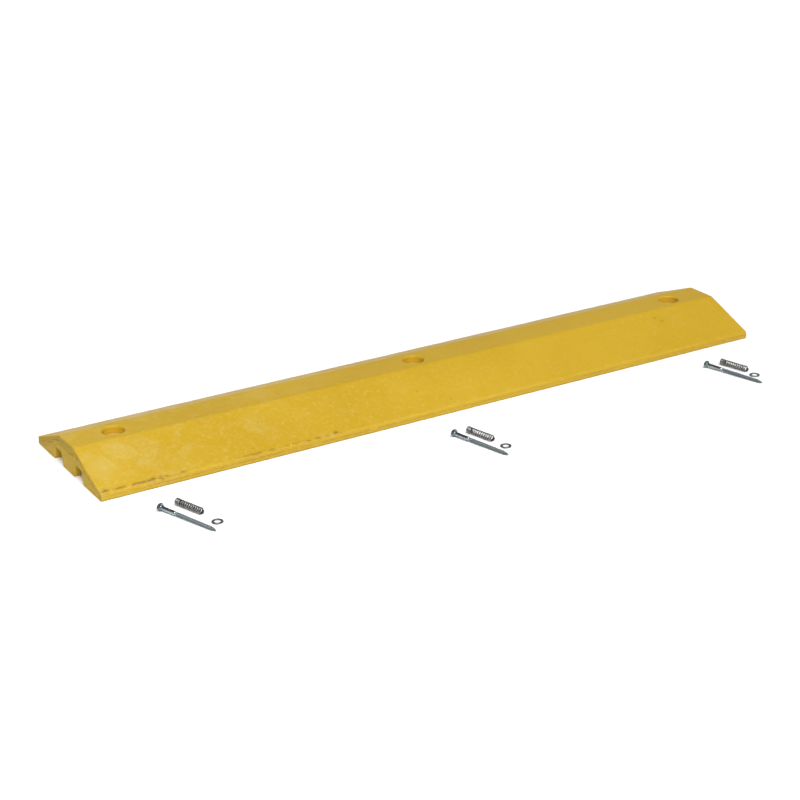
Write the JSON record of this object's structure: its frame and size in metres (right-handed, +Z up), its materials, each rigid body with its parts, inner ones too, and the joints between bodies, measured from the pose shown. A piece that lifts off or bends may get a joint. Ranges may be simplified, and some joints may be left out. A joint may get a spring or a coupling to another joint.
{
  "type": "cable protector ramp",
  "caption": "Long low ramp with sloped sides, a flat top with counterbored bolt holes and two open cable channels underneath, with loose lag screws, coil springs and washers.",
  "frame": {"origin": "on the ground plane, on the axis of the middle bolt hole", "axes": "+X along the ramp, from its near end to its far end, -Y is the front, where the loose hardware lies, +Z up"},
  "size_m": [1.2192, 0.4428, 0.0508],
  "materials": {
    "yellow_recycled_plastic": "moulded recycled plastic, slightly mottled, satin",
    "zinc_plated_screw": "bright zinc plate with a bluish tint",
    "spring_steel_coil": "dull grey drawn spring wire",
    "zinc_plated_washer": "dull zinc plate, stamped"
  },
  "bodies": {
    "ramp": {"ramp_body": "yellow_recycled_plastic"},
    "lag_screw_near": {"lag_screw_near": "zinc_plated_screw"},
    "lag_screw_middle": {"lag_screw_middle": "zinc_plated_screw"},
    "lag_screw_far": {"lag_screw_far": "zinc_plated_screw"},
    "coil_spring_near": {"coil_spring_near": "spring_steel_coil"},
    "coil_spring_middle": {"coil_spring_middle": "spring_steel_coil"},
    "coil_spring_far": {"coil_spring_far": "spring_steel_coil"},
    "washer_near": {"washer_near": "zinc_plated_washer"},
    "washer_middle": {"washer_middle": "zinc_plated_washer"},
    "washer_far": {"washer_far": "zinc_plated_washer"}
  },
  "joints": [
    {"name": "lag_screw_near_lift", "type": "slide", "parent": "ramp", "child": "lag_screw_near", "axis": [0, 0, 1], "range_m": [0, 0.12]},
    {"name": "lag_screw_middle_lift", "type": "slide", "parent": "ramp", "child": "lag_screw_middle", "axis": [0, 0, 1], "range_m": [0, 0.12]},
    {"name": "lag_screw_far_lift", "type": "slide", "parent": "ramp", "child": "lag_screw_far", "axis": [0, 0, 1], "range_m": [0, 0.12]},
    {"name": "coil_spring_near_lift", "type": "slide", "parent": "ramp", "child": "coil_spring_near", "axis": [0, 0, 1], "range_m": [0, 0.12]},
    {"name": "coil_spring_middle_lift", "type": "slide", "parent": "ramp", "child": "coil_spring_middle", "axis": [0, 0, 1], "range_m": [0, 0.12]},
    {"name": "coil_spring_far_lift", "type": "slide", "parent": "ramp", "child": "coil_spring_far", "axis": [0, 0, 1], "range_m": [0, 0.12]},
    {"name": "washer_near_lift", "type": "slide", "parent": "ramp", "child": "washer_near", "axis": [0, 0, 1], "range_m": [0, 0.12]},
    {"name": "washer_middle_lift", "type": "slide", "parent": "ramp", "child": "washer_middle", "axis": [0, 0, 1], "range_m": [0, 0.12]},
    {"name": "washer_far_lift", "type": "slide", "parent": "ramp", "child": "washer_far", "axis": [0, 0, 1], "range_m": [0, 0.12]}
  ]
}
